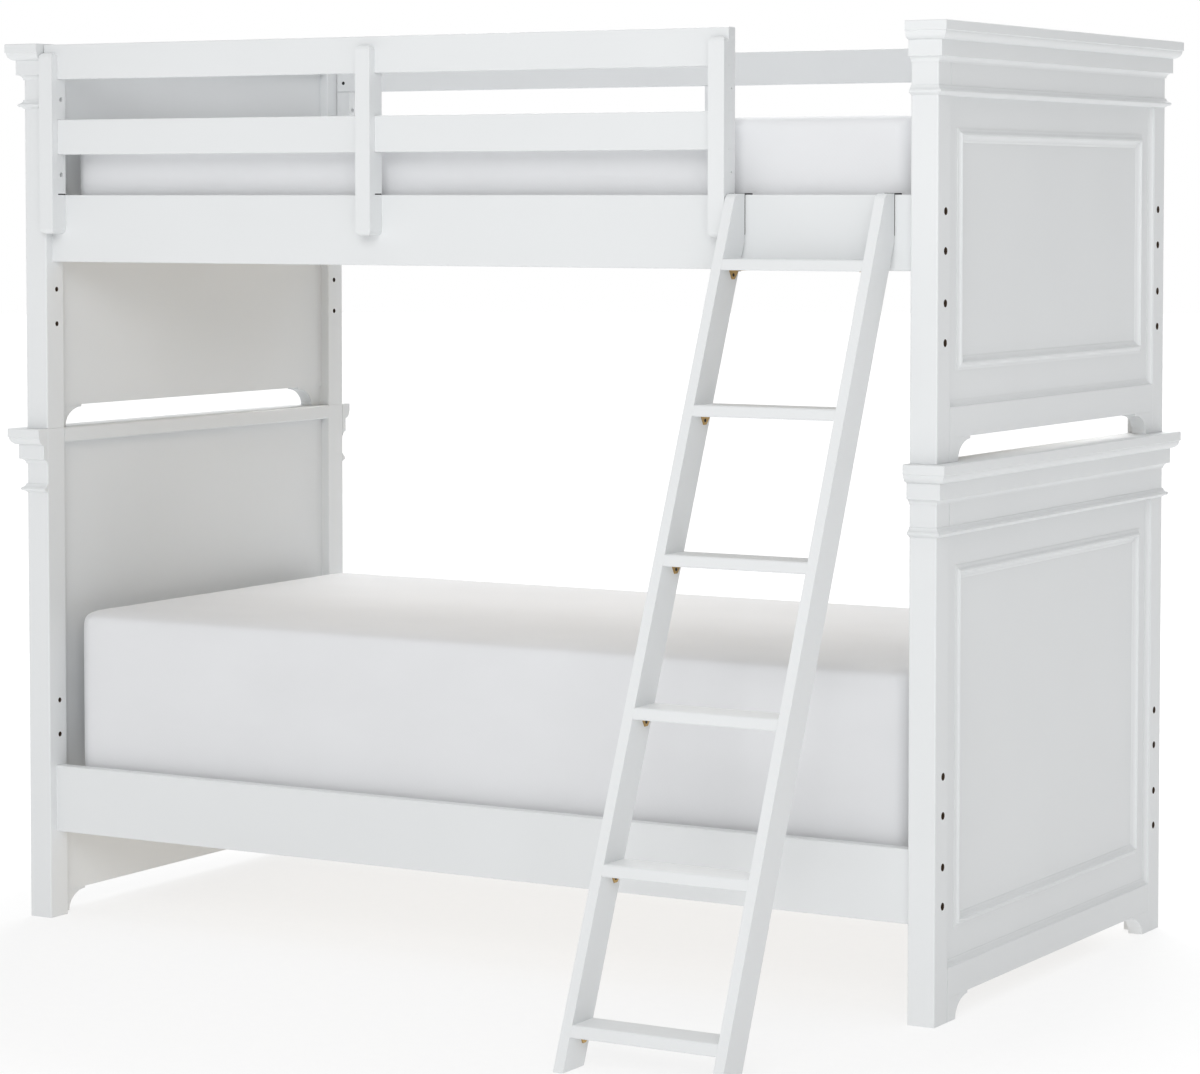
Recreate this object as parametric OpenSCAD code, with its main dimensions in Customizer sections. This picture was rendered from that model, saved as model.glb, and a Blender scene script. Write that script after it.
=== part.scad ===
// Twin-over-twin bunk bed with a lift-off ladder.
// Two beds stand one on the other on steel pins. Each has two panelled ends with a crown cornice,
// bolted side rails, a slat deck and a mattress. The upper bed carries guard rails and the ladder.
// X runs along the bed, -Y is the ladder side and Z is up. Sizes are in millimetres.

/* [Bed] */
// Distance between the inner faces of the end posts, along the bed
gauge = 1930; // [1600:10:2400]
// Width of a bed end over its posts
end_width = 1056; // [860:4:1300]
// Height of a lower bed end, from the floor to the top of its cornice
lower_end_h = 1000; // [820:10:1240]
// Height of an upper bed end, from its feet to the top of its cornice
upper_end_h = 777; // [720:1:960]

/* [Bed ends] */
// Thickness of a post, along the bed
post_x = 53; // [44:1:66]
// Depth of a post, across the bed
post_y = 55; // [45:1:68]
// Thickness of the frame round an end panel
frame_t = 20; // [18:1:24]
// Depth of the frame behind the outer faces of the posts
frame_inset = 9; // [7:0.5:12]
// Thickness of the field panel inside the frame
field_t = 6; // [4:0.5:8]
// Thickness of the inner lining
lining_t = 4; // [3:0.5:9]
// Height of the cap on the inner side of a bed end
cap_h = 30; // [22:1:40]
// Height of the crown and frieze, from the top down to the underside of the bead
crown_zone = 130; // [122:1:160]
// Height of the gap under a bed end, between its bracket feet
foot_gap = 43; // [30:1:55]
// Height of the plinth face of the bottom rail above the foot
plinth_h = 97; // [84:1:120]
// Distance from the foot up to the panel opening
opening_low = 161; // [148:1:194]
// Distance from the cornice top down to the panel opening
opening_high = 186; // [170:1:220]
// Distance from the outer face of a post in to the panel opening
opening_side = 98; // [90:1:120]
// Length of a bracket foot
bracket_foot_l = 85; // [60:1:110]

/* [Mouldings] */
// How far the crown stands out from the posts
crown_out = 28; // [24:1:36]
// Height of the crown
crown_h = 72; // [66:1:90]
// How far the bead below the frieze stands out
bead_out = 10; // [8:1:14]
// Height of the bead below the frieze
bead_h = 18; // [14:1:24]
// Width of the moulding round the panel opening
panel_mould_w = 26; // [22:1:34]
// Width of the cove in the corners of the frame
cove_w = 12; // [9:1:16]

/* [Side rails] */
// Height of a side rail
rail_h = 135; // [112:1:162]
// Thickness of a side rail
rail_t = 25; // [22:1:32]
// Distance from the front face of a post back to the face of the rail
rail_inset = 20; // [16:1:24]
// Height of the lower pair of rail bolts above the foot, to the middle of the pair
pair_low = 247; // [225:1:270]
// Height of the upper pair of rail bolts above the foot, to the middle of the pair
pair_high = 409; // [370:1:450]
// Distance between the two bolts of a pair
pair_pitch = 70; // [56:1:84]
// Distance of the middle of the rail below the middle of its bolt pair
rail_drop = 3.5; // [0:0.5:8]

/* [Slats and mattresses] */
// Number of slats in a bed
slat_count = 13; // [9:1:16]
// Width of a slat
slat_w = 70; // [50:1:90]
// Thickness of a slat
slat_t = 18; // [14:1:22]
// Side of the square cleat that carries the slats
cleat = 25; // [20:1:30]
// Height of the slats' top above the lower edge of the rail
deck_rise = 92; // [76:1:105]
// Distance from each end of a mattress to the posts
mattress_end_gap = 15; // [5:1:30]
// Distance from each side of a mattress to the side rail
mattress_side_gap = 5; // [4:1:12]
// Thickness of the lower mattress
lower_mattress_t = 358.7; // [150:0.1:430]
// Thickness of the upper mattress
upper_mattress_t = 184.4; // [120:0.1:222]
// Radius of the upright corners of a mattress
mattress_r = 45; // [30:1:90]

/* [Guard rails] */
// Height of a guard board
board_h = 70; // [56:1:84]
// Thickness of a guard board
board_t = 24; // [18:1:28]
// Height of the gap under each guard board
board_gap = 81; // [60:1:97]
// Width of a guard support, along the bed
support_w = 33; // [28:1:45]
// Depth of a guard support
support_t = 42; // [38:1:50]
// How far a guard support reaches below the top of the rail
support_low = 78; // [66:1:100]
// Distance from the top of the upper board down to the top of a support
support_top = 17; // [10:1:24]
// Distance between the end of a guard rail and the post
guard_gap = 2; // [1:0.5:12]
// Length of the front guard rail, which leaves the way in beside it
front_guard_l = 1567; // [1200:1:1567]

/* [Ladder] */
// Clear width between the stiles
ladder_clear = 280; // [240:1:281]
// Distance from the ladder to the inner face of the right-hand posts
ladder_offset = 40; // [20:1:40]
// Thickness of a stile
stile_t = 19.5; // [18:0.5:20]
// Depth of a stile, measured level
stile_depth = 70; // [60:1:84]
// Depth of a stile at its top, against the hook plate
stile_top = 35; // [30:1:42]
// How far the ladder comes forward for each unit of height
ladder_lean = 0.41; // [0.34:0.01:0.48]
// Thickness of a tread
tread_t = 20; // [18:1:26]
// Height of the underside of the lowest tread
tread_first = 56; // [46:1:68]
// Height from one tread to the next
tread_pitch = 256.5; // [213:0.5:262]
// Depth of the housing for a tread's end in its stile
housing = 6; // [4:1:9]

/* [Hidden] */

$fn = 48;

left = -1;
right = 1;
front = -1;
back = 1;

// Clearances: joints within a body, bodies that lift apart, screws in their holes, and mitres
joint_gap = 0.15;
lift_gap = 0.3;
screw_gap = 0.05;
mitre_gap = 0.05;
// A cut runs this far past the face that it opens
over = 1;

// Stations on the right-hand, back corner, measured from the middle of the bed
post_in_x = gauge / 2;
post_out_x = post_in_x + post_x;
frame_out_x = post_out_x - frame_inset;
frame_in_x = frame_out_x - frame_t;
post_out_y = end_width / 2;
post_in_y = post_out_y - post_y;
opening_y = post_out_y - opening_side;
rail_out_y = post_out_y - rail_inset;
rail_in_y = rail_out_y - rail_t;
rail_mid_y = (rail_out_y + rail_in_y) / 2;

// Heights
lower_z = 0;
upper_z = lower_end_h + lift_gap;
rail_below_pair = rail_drop + rail_h / 2;
lower_rail_z = lower_z + pair_low - rail_below_pair;
upper_rail_z = upper_z + pair_high - rail_below_pair;
rail_top_z = upper_rail_z + rail_h;

// Field panel: how far it sits back, its groove, and its play at the bottom of the groove
field_set_back = 3;
field_out_x = frame_out_x - field_set_back;
groove = 8;
field_play = 0.5;

// Hollow of a bracket foot: its share of the foot's length, and the flat left above it
bracket_hollow = 0.61;
bracket_flat = 5;

// Extra depth of a bore past the end of its bolt
bore_extra = 5;

// Numbers of the treads, from the floor up
treads = [1 : 6];

// Tenons of the top and bottom rails
tenon_t = 10;
tenon_x = (frame_in_x + frame_out_x - tenon_t) / 2;
tenon_h = 60;
tenon_l = 25;

// Softened edges of the painted timber
ease = 2.5;

// Rail bolts, their holes in the post and rail, and the barrel nuts
bolt_d = 8;
bolt_run = 60;
bolt_head_d = 13;
bolt_head_h = 8;
post_bore_d = 10;
post_sink_d = 14;
post_sink = 30;
rail_bore_d = 9;
nut_d = 12;
nut_l = 18;
nut_back = 45;

// Stacking pins
pin_d = 12;
pin_half = 30;
pin_tip = 3;
pin_x = post_in_x + post_x / 2;
pin_y = post_out_y - post_y / 2;

// Slats and cleats
slat_side_gap = 2;
slat_end_gap = 12;
cleat_end_gap = 20;

// Guard rails: boards, supports and their screws
guard_left_x = -post_in_x + guard_gap;
back_guard_l = gauge - 2 * guard_gap;
board_z = [rail_top_z + board_gap, rail_top_z + 2 * board_gap + board_h];
support_z = rail_top_z - support_low;
support_h = board_z[1] + board_h - support_top - support_z;
support_r = 10;
front_support_x = support_places(front_guard_l);
back_support_x = support_places(back_guard_l);
plate_t = 2.5;
cross_bore_d = 4;
cross_sink_d = 10;
cross_sink = 12;
cross_back = 13;
screw_d = 4;
screw_head_d = 8;
screw_head_h = 2.4;
board_screw_l = 35;
board_screw_edge = 20;
rail_screw_l = 45;
rail_screw_drops = [20, 55];

// Ladder
hook_t = 2.5;
hook_leg = 75;
hook_lip = 22;
hook_screw_l = 22;
hook_screw_drops = [22, 58];
hook_top_z = rail_top_z + lift_gap + hook_t;
stile_back_y = rail_out_y + lift_gap + hook_t;
stile_top_z = rail_top_z + 2;
stile_r = 18;
foot_y = stile_back_y + stile_top + ladder_lean * stile_top_z;
stile_right_x = post_in_x - ladder_offset - stile_t;
stile_left_x = stile_right_x - ladder_clear - stile_t;
tread_ease = 2;
housing_stop = 8;
tongue_shoulder = 3;
bracket_w = 34;
bracket_h = 17;
bracket_t = 1.5;
bracket_reach = 20;
bracket_back = 20;
bracket_screw_d = 3;
bracket_screw_head_d = 6.5;
bracket_screw_head_h = 1.2;
bracket_screw_l = 12;

// Screws of a bracket: along its upper leg, down its tapered leg, and to the side
bracket_screw_reach = bracket_reach * 0.6;
bracket_screw_drop = bracket_h * 0.55;
bracket_screw_side = 3;

// Tip of the tapered leg, back and forward of the bracket's middle
bracket_tip_back = 2;
bracket_tip_front = 8;

// The origin is on the floor, in the middle of the room that bed and ladder take up
origin_shift = (foot_y - post_out_y - crown_out) / 2;

// Left edges of the supports of a guard rail: one at each end and one in the middle
function support_places(l) = [for (part = [0, 0.5, 1]) guard_left_x + part * (l - support_w)];

// Distance from the middle of the bed out to the front edge of the ladder at height z
function ladder_front(z) = foot_y - ladder_lean * z;

// Height of the underside of a tread, counted from 1 at the bottom
function tread_z(number) = tread_first + (number - 1) * tread_pitch;

// Points on an elliptical arc about a centre, from one angle to another
function arc(cx, cy, rx, ry, from, to, steps) = [
  for (i = [0 : steps]) let (a = from + (to - from) * i / steps) [cx + rx * cos(a), cy + ry * sin(a)]
];

// Rectangle with small round corners
function eased_box(w, h, r) = concat(
  arc(w - r, h - r, r, r, 0, 90, 3), arc(r, h - r, r, r, 90, 180, 3),
  arc(r, r, r, r, 180, 270, 3), arc(w - r, r, r, r, 270, 360, 3)
);

// Section of the crown, out and down: fascia, ovolo, second fascia and cove
function crown_section() = let (lower = crown_out - 16, cove_rise = 10) concat(
  [[0, 0], [crown_out - 1.5, 0], [crown_out, -1.5], [crown_out, -17], [crown_out - 2, -18.5]],
  arc(lower, -18.5, 14, 14.5, -10, -90, 6),
  [[lower, -34.5], [lower, cove_rise - crown_h]],
  arc(lower, -crown_h, lower - 1.5, cove_rise, 90, 180, 5),
  [[0, -crown_h]]
);

// Section of the bead, out and down: a long upper slope, a round nose and a short return
function bead_section() = concat(
  [[0, 0]],
  arc(bead_out - 1, 1, bead_out - 2.5, bead_h * 0.5, 190, 265, 4),
  arc(bead_out - 3, -bead_h * 0.62, 3, bead_h * 0.16, 60, -60, 5),
  arc(bead_out - 3, -bead_h, bead_out - 4.5, bead_h * 0.2, 80, 165, 3),
  [[0, -bead_h]]
);

// Section of the panel moulding, in from its outer edge and up: quirk, ogee crest and long slope
function panel_mould_section() = concat(
  [[0, 0], [0, 4], [2.5, 4.4]],
  arc(2.5, 9, 6.5, 4.6, -70, -15, 3),
  arc(12, 6.8, 4, 2.8, 150, 60, 4),
  arc(panel_mould_w - 1, 9.2, panel_mould_w - 15.5, 8, 185, 262, 5),
  [[panel_mould_w, 0]]
);

// Section of the corner cove, in from the corner and up
function cove_section() = let (rise = frame_inset - 1) concat(
  [[0, 0], [0, rise], [1, rise]],
  arc(cove_w, rise, cove_w - 1, rise - 0.8, 180, 270, 6),
  [[cove_w, 0]]
);

// Moves a part from the bed's own middle to the shared origin
module at_origin() translate([0, origin_shift, 0]) children();

// A bed end is drawn as the right-hand one and mirrored for the left
module at_end(side, z) at_origin() mirror([side < 0 ? 1 : 0, 0, 0]) translate([0, 0, z]) children();

// A part is drawn on the back side and mirrored for the front
module on_side(face) mirror([0, face < 0 ? 1 : 0, 0]) children();

// Lifts an outline in the plane of Y and Z and runs it along X
module along_x(x, l) translate([x, 0, 0]) rotate([90, 0, 90]) linear_extrude(l) children();

// Lifts an outline in the plane of X and Z and runs it along Y, towards the front
module along_y(y, l) translate([0, y, 0]) rotate([90, 0, 0]) linear_extrude(l) children();

// Rectangle with true round corners
module round_box(w, h, r) {
  translate([r, 0]) square([w - 2 * r, h]);
  translate([0, r]) square([w, h - 2 * r]);
  for (x = [r, w - r], y = [r, h - r]) translate([x, y]) circle(r);
}

// Stick along X with a moulded section. A mitre at an end narrows the stick towards +Y
module mitred_stick(l, w, section, near, far) intersection() {
  along_x(0, l) polygon(section);
  linear_extrude(2 * crown_out) polygon([
    [near * mitre_gap, 0], [l - far * mitre_gap, 0],
    [l - far * (w + mitre_gap), w], [near * (w + mitre_gap), w]
  ]);
}

// Countersunk wood screw, with its head at the origin and its point towards +Z
module screw(l, gap = 0) {
  cylinder(d1 = screw_head_d + 2 * gap, d2 = screw_d + 2 * gap, h = screw_head_h);
  cylinder(d = screw_d + 2 * gap, h = l + gap);
}

// ---- Bed ends ----

// Bore and counterbore of the rail bolts through a post
module bolt_holes() for (pair = [pair_low, pair_high], step = [-0.5, 0.5])
  translate([post_in_x, rail_mid_y, pair + step * pair_pitch]) rotate([0, 90, 0]) {
    translate([0, 0, -over]) cylinder(d = post_bore_d, h = post_x + 2 * over);
    translate([0, 0, post_x - post_sink]) cylinder(d = post_sink_d, h = post_sink + over);
  }

// Tenon of the bottom or top rail, or its mortise when grown by gap
module tenon(z, gap) translate([tenon_x - gap, post_in_y - over, z - tenon_h / 2 - gap])
  cube([tenon_t + 2 * gap, tenon_l + over + gap, tenon_h + 2 * gap]);

module end_tenons(h, gap) {
  tenon((foot_gap + opening_low) / 2, gap);
  tenon(h - (cap_h + crown_zone) / 2, gap);
}

// Hole for the stacking pin: in the top of a lower post, or in the foot of an upper one
module pin_hole(z, h) if (z == lower_z)
  translate([pin_x, pin_y, h - pin_half]) cylinder(d = pin_d, h = pin_half + over);
else
  translate([pin_x, pin_y, -over]) cylinder(d = pin_d + 2 * lift_gap, h = pin_half + over + lift_gap);

module end_post(side, face, z, h) color("#e3e5e5") at_end(side, z) on_side(face) difference() {
  translate([post_in_x, post_in_y, 0]) linear_extrude(h) polygon(eased_box(post_x, post_y, ease));
  bolt_holes();
  end_tenons(h, joint_gap);
  pin_hole(z, h);
}

// Groove that holds the field panel, or the field panel itself with its play
module field(h, play, gap) {
  lip = groove - play;
  translate([field_out_x - field_t - gap, -opening_y - lip, opening_low - lip])
    cube([field_t + 2 * gap, 2 * (opening_y + lip), h - opening_low - opening_high + 2 * lip]);
}

// Stiles of the end panel, one against each post
module end_stiles(side, z, h) color("#d6d8d9") at_end(side, z) difference() {
  for (face = [front, back]) on_side(face) translate([frame_in_x, opening_y, opening_low])
    cube([frame_t, post_in_y - opening_y, h - opening_low - opening_high]);
  field(h, 0, joint_gap);
}

// Top rail: cap, frieze and the upper member of the frame in one length
module end_top_rail(side, z, h) color("#e3e5e5") at_end(side, z) {
  difference() {
    along_y(post_in_y, 2 * post_in_y) polygon([
      [post_in_x, h - cap_h + ease], [post_in_x, h - ease], [post_in_x + ease, h], [post_out_x, h],
      [post_out_x, h - crown_zone], [frame_out_x, h - crown_zone], [frame_out_x, h - opening_high],
      [frame_in_x, h - opening_high], [frame_in_x, h - cap_h], [post_in_x + ease, h - cap_h]
    ]);
    field(h, 0, joint_gap);
  }
  for (face = [front, back]) on_side(face) tenon(h - (cap_h + crown_zone) / 2, 0);
}

// Hollow-curved bracket foot, glued under the bottom rail in the corner by the post
module bracket_foot() {
  curve_l = bracket_foot_l * bracket_hollow;
  curve_h = foot_gap - bracket_flat;
  start = post_in_y - bracket_foot_l;
  along_x(frame_in_x, post_out_x - frame_in_x) polygon(concat(
    arc(start, 0, curve_l, curve_h, 0, 90, 9),
    [[start, foot_gap - joint_gap], [post_in_y, foot_gap - joint_gap], [post_in_y, 0]]
  ));
}

module end_bottom_rail(side, z, h) color("#d6d8d9") at_end(side, z) {
  difference() {
    along_y(post_in_y, 2 * post_in_y) polygon([
      [frame_in_x, foot_gap], [post_out_x, foot_gap], [post_out_x, plinth_h],
      [frame_out_x, plinth_h], [frame_out_x, opening_low], [frame_in_x, opening_low]
    ]);
    field(h, 0, joint_gap);
  }
  for (face = [front, back]) on_side(face) {
    tenon((foot_gap + opening_low) / 2, 0);
    bracket_foot();
  }
}

// Field panel in its grooves, and the flat lining on the inner side
module end_panels(side, z, h) color("#cfd1d3") at_end(side, z) {
  field(h, field_play, 0);
  translate([frame_in_x - lining_t, -post_in_y, foot_gap])
    cube([lining_t, 2 * post_in_y, h - cap_h - foot_gap]);
}

// Mitred moulding on the field panel, and coves in the corners along the posts and the plinth
module end_mouldings(side, z, h) color("#dcdee0") at_end(side, z) {
  mould_l = 2 * opening_y;
  mould_h = h - opening_low - opening_high;
  mould = panel_mould_section();
  translate([field_out_x, -opening_y, opening_low]) rotate([90, 0, 90]) {
    mitred_stick(mould_l, panel_mould_w, mould, 1, 1);
    translate([mould_l, mould_h, 0]) rotate([0, 0, 180]) mitred_stick(mould_l, panel_mould_w, mould, 1, 1);
    translate([0, mould_h, 0]) rotate([0, 0, -90]) mitred_stick(mould_h, panel_mould_w, mould, 1, 1);
    translate([mould_l, 0, 0]) rotate([0, 0, 90]) mitred_stick(mould_h, panel_mould_w, mould, 1, 1);
  }
  cove_l = 2 * post_in_y;
  cove_h = h - crown_zone - plinth_h;
  translate([frame_out_x, -post_in_y, plinth_h]) rotate([90, 0, 90]) {
    mitred_stick(cove_l, cove_w, cove_section(), 1, 1);
    translate([0, cove_h, 0]) rotate([0, 0, -90]) mitred_stick(cove_h, cove_w, cove_section(), 0, 1);
    translate([cove_l, 0, 0]) rotate([0, 0, 90]) mitred_stick(cove_h, cove_w, cove_section(), 1, 0);
  }
}

// Cuts a moulding at the upright mitre plane of the back corner
module mitre_cutter(top, drop, turn) translate([post_out_x, post_out_y, top - drop - over])
  rotate([0, 0, turn]) translate([-2 * post_x, -mitre_gap, 0])
    cube([5 * post_x, 2 * post_x, drop + 2 * over]);

// A moulding wrapped round a bed end: a long stick outside and a return on each post
module wrapped_moulding(section, top, drop, reach) {
  difference() {
    translate([post_out_x, 0, top]) along_y(post_out_y + reach, end_width + 2 * reach) polygon(section);
    for (face = [front, back]) on_side(face) mitre_cutter(top, drop, 45);
  }
  for (face = [front, back]) on_side(face) difference() {
    translate([0, post_out_y, top]) along_x(post_in_x, post_x + reach) polygon(section);
    mitre_cutter(top, drop, 225);
  }
}

module end_cornice(side, z, h) color("#e6e8e8") at_end(side, z) {
  wrapped_moulding(crown_section(), h, crown_h, crown_out);
  wrapped_moulding(bead_section(), h - crown_zone + bead_h, bead_h, bead_out);
}

module lower_left_front_post() end_post(left, front, lower_z, lower_end_h);
module lower_left_back_post() end_post(left, back, lower_z, lower_end_h);
module lower_left_stiles() end_stiles(left, lower_z, lower_end_h);
module lower_left_top_rail() end_top_rail(left, lower_z, lower_end_h);
module lower_left_bottom_rail() end_bottom_rail(left, lower_z, lower_end_h);
module lower_left_panels() end_panels(left, lower_z, lower_end_h);
module lower_left_mouldings() end_mouldings(left, lower_z, lower_end_h);
module lower_left_cornice() end_cornice(left, lower_z, lower_end_h);

module lower_right_front_post() end_post(right, front, lower_z, lower_end_h);
module lower_right_back_post() end_post(right, back, lower_z, lower_end_h);
module lower_right_stiles() end_stiles(right, lower_z, lower_end_h);
module lower_right_top_rail() end_top_rail(right, lower_z, lower_end_h);
module lower_right_bottom_rail() end_bottom_rail(right, lower_z, lower_end_h);
module lower_right_panels() end_panels(right, lower_z, lower_end_h);
module lower_right_mouldings() end_mouldings(right, lower_z, lower_end_h);
module lower_right_cornice() end_cornice(right, lower_z, lower_end_h);

module upper_left_front_post() end_post(left, front, upper_z, upper_end_h);
module upper_left_back_post() end_post(left, back, upper_z, upper_end_h);
module upper_left_stiles() end_stiles(left, upper_z, upper_end_h);
module upper_left_top_rail() end_top_rail(left, upper_z, upper_end_h);
module upper_left_bottom_rail() end_bottom_rail(left, upper_z, upper_end_h);
module upper_left_panels() end_panels(left, upper_z, upper_end_h);
module upper_left_mouldings() end_mouldings(left, upper_z, upper_end_h);
module upper_left_cornice() end_cornice(left, upper_z, upper_end_h);

module upper_right_front_post() end_post(right, front, upper_z, upper_end_h);
module upper_right_back_post() end_post(right, back, upper_z, upper_end_h);
module upper_right_stiles() end_stiles(right, upper_z, upper_end_h);
module upper_right_top_rail() end_top_rail(right, upper_z, upper_end_h);
module upper_right_bottom_rail() end_bottom_rail(right, upper_z, upper_end_h);
module upper_right_panels() end_panels(right, upper_z, upper_end_h);
module upper_right_mouldings() end_mouldings(right, upper_z, upper_end_h);
module upper_right_cornice() end_cornice(right, upper_z, upper_end_h);

// ---- Side rails, bolts and pins ----

// Runs its children at the rail bolts of a bed, from a post's inner face out along the bed
module at_bolts(face, z, pair) for (side = [left, right], step = [-0.5, 0.5])
  mirror([side < 0 ? 1 : 0, 0, 0]) on_side(face)
    translate([post_in_x, rail_mid_y, z + pair + step * pair_pitch]) rotate([0, 90, 0]) children();

// Runs its children at the screws that hold the guard supports to a side rail
module at_rail_screws(face) on_side(face)
  for (x = face < 0 ? front_support_x : back_support_x, drop = rail_screw_drops)
    translate([x + support_w / 2, rail_in_y, rail_top_z - drop]) rotate([-90, 0, 0]) children();

module side_rail(face, rail_z, bed_z, pair) color("#e3e5e5") at_origin() difference() {
  on_side(face) translate([0, rail_in_y, rail_z]) along_x(-post_in_x, gauge)
    polygon(eased_box(rail_t, rail_h, ease));
  at_bolts(face, bed_z, pair) {
    translate([0, 0, -bolt_run - bore_extra]) cylinder(d = rail_bore_d, h = bolt_run + bore_extra + over);
    translate([0, nut_l / 2 + screw_gap, -nut_back]) rotate([90, 0, 0])
      cylinder(d = nut_d + 2 * screw_gap, h = nut_l / 2 + rail_t / 2 + over);
  }
  if (bed_z == upper_z) at_rail_screws(face) screw(rail_screw_l, screw_gap);
}

module lower_front_rail() side_rail(front, lower_rail_z, lower_z, pair_low);
module lower_back_rail() side_rail(back, lower_rail_z, lower_z, pair_low);
module upper_front_rail() side_rail(front, upper_rail_z, upper_z, pair_high);
module upper_back_rail() side_rail(back, upper_rail_z, upper_z, pair_high);

// Socket-head bolt in the post and its barrel nut in the rail
module rail_fittings(bed_z, pair) color("#3a3b3d") at_origin() for (face = [front, back])
  at_bolts(face, bed_z, pair) {
    translate([0, 0, -bolt_run]) cylinder(d = bolt_d, h = bolt_run + post_x - post_sink);
    translate([0, 0, post_x - post_sink]) cylinder(d = bolt_head_d, h = bolt_head_h);
    translate([0, 0, -nut_back]) difference() {
      translate([0, nut_l / 2, 0]) rotate([90, 0, 0]) cylinder(d = nut_d, h = nut_l);
      translate([0, 0, -nut_d]) cylinder(d = bolt_d + 2 * screw_gap, h = 2 * nut_d);
    }
  }

module lower_rail_fittings() rail_fittings(lower_z, pair_low);
module upper_rail_fittings() rail_fittings(upper_z, pair_high);

// Steel pins driven into the lower posts, with tapered tips for the upper ones
module stacking_pins() color("#b8babd") for (side = [left, right], face = [front, back]) at_end(side, lower_z)
  on_side(face) translate([pin_x, pin_y, lower_end_h - pin_half]) {
    cylinder(d = pin_d, h = 2 * pin_half - pin_tip);
    translate([0, 0, 2 * pin_half - pin_tip]) cylinder(d1 = pin_d, d2 = pin_d - pin_tip, h = pin_tip);
  }

// ---- Slat deck and mattresses ----

// Cleats on the inner faces of a bed's side rails, under the slats
module cleats(rail_z) color("#dcc49c") at_origin() for (face = [front, back]) on_side(face)
  translate([cleat_end_gap - post_in_x, rail_in_y - cleat, rail_z + deck_rise - slat_t - cleat])
    cube([gauge - 2 * cleat_end_gap, cleat, cleat]);

module slats(rail_z) {
  l = 2 * (rail_in_y - slat_side_gap);
  pitch = (gauge - 2 * slat_end_gap - slat_w) / (slat_count - 1);
  color("#e2cda8") at_origin() for (i = [0 : slat_count - 1])
    translate([slat_end_gap - post_in_x + i * pitch, 0, rail_z + deck_rise - slat_t])
      along_y(l / 2, l) polygon(eased_box(slat_w, slat_t, ease));
}

module mattress(rail_z, thickness) {
  l = gauge - 2 * mattress_end_gap;
  w = 2 * (rail_in_y - mattress_side_gap);
  color("#dcdddf") at_origin() translate([-l / 2, -w / 2, rail_z + deck_rise + lift_gap])
    linear_extrude(thickness) round_box(l, w, mattress_r);
}

module lower_cleats() cleats(lower_rail_z);
module upper_cleats() cleats(upper_rail_z);
module lower_slats() slats(lower_rail_z);
module upper_slats() slats(upper_rail_z);
module lower_mattress() mattress(lower_rail_z, lower_mattress_t);
module upper_mattress() mattress(upper_rail_z, upper_mattress_t);

// ---- Guard rails ----

// Runs its children at the two screws that hold each board to each support
module at_board_screws(places)
  for (x = places, z = board_z, rise = [board_screw_edge, board_h - board_screw_edge])
    translate([x + support_w / 2, rail_out_y, z + rise]) rotate([-90, 0, 0]) children();

// Support post with rounded ends, notched for the boards and kerfed for its steel plate
module guard_support() difference() {
  intersection() {
    translate([0, support_t, 0]) along_y(0, support_t) round_box(support_w, support_h, support_r);
    along_x(0, support_w) {
      round_box(support_t, support_h, support_r);
      square([support_t / 2, support_h]);
    }
  }
  for (z = board_z) translate([-over, -over, z - support_z - joint_gap])
    cube([support_w + 2 * over, board_t + over + joint_gap, board_h + 2 * joint_gap]);
  translate([-over, -over, support_low]) cube([support_w + 2 * over, board_t + over, plate_t]);
}

// Cross hole through an end support, with its counterbore on the side towards the middle of the guard
module cross_holes(x, inward)
  for (z = [(rail_top_z + board_z[0]) / 2, (board_z[0] + board_h + board_z[1]) / 2])
    translate([x + support_w / 2, rail_out_y + cross_back, z]) rotate([0, 90 * inward, 0]) {
      cylinder(d = cross_bore_d, h = support_w + 2 * over, center = true);
      translate([0, 0, support_w / 2 - cross_sink]) cylinder(d = cross_sink_d, h = cross_sink + over);
    }

module guard_supports(face, places) color("#e8eaea") at_origin() on_side(face) difference() {
  for (x = places) translate([x, rail_out_y, support_z]) guard_support();
  cross_holes(places[0], 1);
  cross_holes(places[2], -1);
  at_board_screws(places) screw(board_screw_l, screw_gap);
  on_side(face) at_rail_screws(face) screw(rail_screw_l, screw_gap);
}

module guard_boards(face, places, l) color("#e0e2e3") at_origin() on_side(face) difference() {
  for (z = board_z) translate([0, rail_out_y, z]) along_x(guard_left_x, l)
    polygon(eased_box(board_t, board_h, ease));
  at_board_screws(places) screw(board_screw_l, screw_gap);
}

module front_guard_supports() guard_supports(front, front_support_x);
module front_guard_boards() guard_boards(front, front_support_x, front_guard_l);
module back_guard_supports() guard_supports(back, back_support_x);
module back_guard_boards() guard_boards(back, back_support_x, back_guard_l);

// Steel plate in the kerf of each support
module support_plates(places) for (x = places) translate([x + over, rail_out_y, rail_top_z])
  cube([support_w - 2 * over, board_t, plate_t]);

module guard_fixings() color("#3a3b3d") at_origin() {
  for (face = [front, back]) {
    places = face < 0 ? front_support_x : back_support_x;
    on_side(face) at_board_screws(places) screw(board_screw_l);
    on_side(face) support_plates(places);
    at_rail_screws(face) screw(rail_screw_l);
  }
}

// ---- Ladder ----

// Outline of a tread's tongues in the plane of Y and Z. They stop short of the front of the stiles
function tread_tongue(z, gap, back) = let (
  low = z + tongue_shoulder - gap,
  high = z + tread_t - tongue_shoulder + gap,
  stop = housing_stop - gap
) [
  [ladder_front(low) - stile_depth - back, low], [ladder_front(low) - stop, low],
  [ladder_front(high) - stop, high], [ladder_front(high) - stile_depth - back, high]
];

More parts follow.
